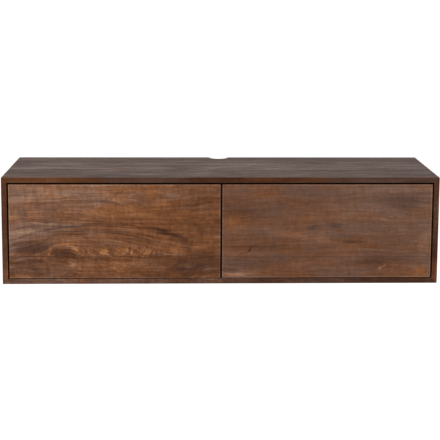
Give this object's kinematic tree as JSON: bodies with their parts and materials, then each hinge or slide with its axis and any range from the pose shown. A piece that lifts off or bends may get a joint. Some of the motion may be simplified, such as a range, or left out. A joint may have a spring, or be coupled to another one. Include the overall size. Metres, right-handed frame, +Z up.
{
  "type": "floating media console",
  "caption": "Wall-hung wooden media console with mitred case, push-open drop-down flaps on concealed hinges with sliding stays, cable notch and French cleats.",
  "frame": {"origin": "middle of the underside of the case, halfway between its front edge and the wall", "axes": "+X to the right along the case as one faces it, +Y towards the wall, +Z up"},
  "size_m": [1.45, 0.4, 0.36],
  "materials": {
    "mango_wood": "dark walnut-brown stain under a matte lacquer, grain running along the case",
    "inside_veneer": "stained to match the case, matte",
    "back_board": "stained plywood back, matte",
    "raw_beech": "planed, unfinished",
    "plated_steel": "bright zinc or nickel plated",
    "hinge_steel": "nickel plated",
    "guide_plastic": "moulded black nylon",
    "latch_plastic": "moulded dark grey ABS",
    "plunger_plastic": "moulded grey acetal with a magnet tip",
    "bumper_rubber": "soft, matte",
    "screw_steel": "yellow-zinc plated"
  },
  "bodies": {
    "case": {"top_panel": "mango_wood", "bottom_panel": "mango_wood", "side_panel_left": "mango_wood", "side_panel_right": "mango_wood", "centre_partition": "inside_veneer", "back_panel_left": "back_board", "back_panel_right": "back_board", "hanging_rail_left": "raw_beech", "hanging_rail_right": "raw_beech", "cabinet_cleat_left": "raw_beech", "cabinet_cleat_right": "raw_beech", "wall_cleat_left": "raw_beech", "wall_cleat_right": "raw_beech", "mitre_tongues": "raw_beech", "partition_dowels": "raw_beech", "hinge_barrels_case_left": "plated_steel", "hinge_barrels_case_right": "plated_steel", "stay_base_left_outer": "plated_steel", "stay_base_left_inner": "plated_steel", "stay_base_right_inner": "plated_steel", "stay_base_right_outer": "plated_steel", "latch_housing_left": "latch_plastic", "latch_housing_right": "latch_plastic", "flap_bumpers": "bumper_rubber", "back_panel_screws_left": "screw_steel", "back_panel_screws_right": "screw_steel", "cleat_screws_left": "screw_steel", "cleat_screws_right": "screw_steel", "stay_base_screws": "screw_steel", "latch_screws": "screw_steel"},
    "flap_left": {"flap_left": "mango_wood", "hinge_barrels_flap_left": "plated_steel", "stay_bracket_left_outer": "plated_steel", "stay_bracket_left_inner": "plated_steel", "bracket_screws_left": "screw_steel", "strike_plate_left": "plated_steel", "strike_screw_left": "screw_steel"},
    "hinge_links_left": {"hinge_links_left": "hinge_steel"},
    "stay_guides_left": {"stay_guide_left_outer": "guide_plastic", "stay_guide_left_inner": "guide_plastic"},
    "stay_arms_left": {"stay_arm_left_outer": "plated_steel", "stay_arm_left_inner": "plated_steel"},
    "latch_plunger_left": {"latch_plunger_left": "plunger_plastic"},
    "flap_right": {"flap_right": "mango_wood", "hinge_barrels_flap_right": "plated_steel", "stay_bracket_right_outer": "plated_steel", "stay_bracket_right_inner": "plated_steel", "bracket_screws_right": "screw_steel", "strike_plate_right": "plated_steel", "strike_screw_right": "screw_steel"},
    "hinge_links_right": {"hinge_links_right": "hinge_steel"},
    "stay_guides_right": {"stay_guide_right_outer": "guide_plastic", "stay_guide_right_inner": "guide_plastic"},
    "stay_arms_right": {"stay_arm_right_outer": "plated_steel", "stay_arm_right_inner": "plated_steel"},
    "latch_plunger_right": {"latch_plunger_right": "plunger_plastic"}
  },
  "joints": [
    {"name": "flap_left_drop", "type": "hinge", "parent": "case", "child": "flap_left", "pos_m": [-0.35232, -0.1965, 0.0215], "axis": [1, 0, 0], "range_deg": [0, 90]},
    {"name": "hinge_links_left_turn", "type": "hinge", "parent": "case", "child": "hinge_links_left", "pos_m": [-0.35232, -0.1965, 0.0215], "axis": [1, 0, 0], "range_deg": [0, 31.5]},
    {"name": "stay_guides_left_swivel", "type": "hinge", "parent": "case", "child": "stay_guides_left", "pos_m": [-0.35232, -0.10168, 0.13773], "axis": [1, 0, 0], "range_deg": [0, 45]},
    {"name": "stay_arms_left_swing", "type": "hinge", "parent": "flap_left", "child": "stay_arms_left", "pos_m": [-0.35232, -0.1725, 0.16957], "axis": [1, 0, 0], "range_deg": [-45, 0]},
    {"name": "latch_plunger_left_travel", "type": "slide", "parent": "case", "child": "latch_plunger_left", "axis": [0, -1, 0], "range_m": [0, 0.01]},
    {"name": "flap_right_drop", "type": "hinge", "parent": "case", "child": "flap_right", "pos_m": [0.35232, -0.1965, 0.0215], "axis": [1, 0, 0], "range_deg": [0, 90]},
    {"name": "hinge_links_right_turn", "type": "hinge", "parent": "case", "child": "hinge_links_right", "pos_m": [0.35232, -0.1965, 0.0215], "axis": [1, 0, 0], "range_deg": [0, 31.5]},
    {"name": "stay_guides_right_swivel", "type": "hinge", "parent": "case", "child": "stay_guides_right", "pos_m": [0.35232, -0.10168, 0.13773], "axis": [1, 0, 0], "range_deg": [0, 45]},
    {"name": "stay_arms_right_swing", "type": "hinge", "parent": "flap_right", "child": "stay_arms_right", "pos_m": [0.35232, -0.1725, 0.16957], "axis": [1, 0, 0], "range_deg": [-45, 0]},
    {"name": "latch_plunger_right_travel", "type": "slide", "parent": "case", "child": "latch_plunger_right", "axis": [0, -1, 0], "range_m": [0, 0.01]}
  ],
  "couplings": [
    {"joint": "hinge_links_left_turn", "follows": "flap_left_drop", "ratio": 0.35},
    {"joint": "stay_guides_left_swivel", "follows": "flap_left_drop", "ratio": 0.5},
    {"joint": "stay_arms_left_swing", "follows": "flap_left_drop", "ratio": -0.5},
    {"joint": "latch_plunger_left_travel", "follows": "flap_left_drop", "m_per_rad": 0.00636},
    {"joint": "hinge_links_right_turn", "follows": "flap_right_drop", "ratio": 0.35},
    {"joint": "stay_guides_right_swivel", "follows": "flap_right_drop", "ratio": 0.5},
    {"joint": "stay_arms_right_swing", "follows": "flap_right_drop", "ratio": -0.5},
    {"joint": "latch_plunger_right_travel", "follows": "flap_right_drop", "m_per_rad": 0.00636}
  ]
}
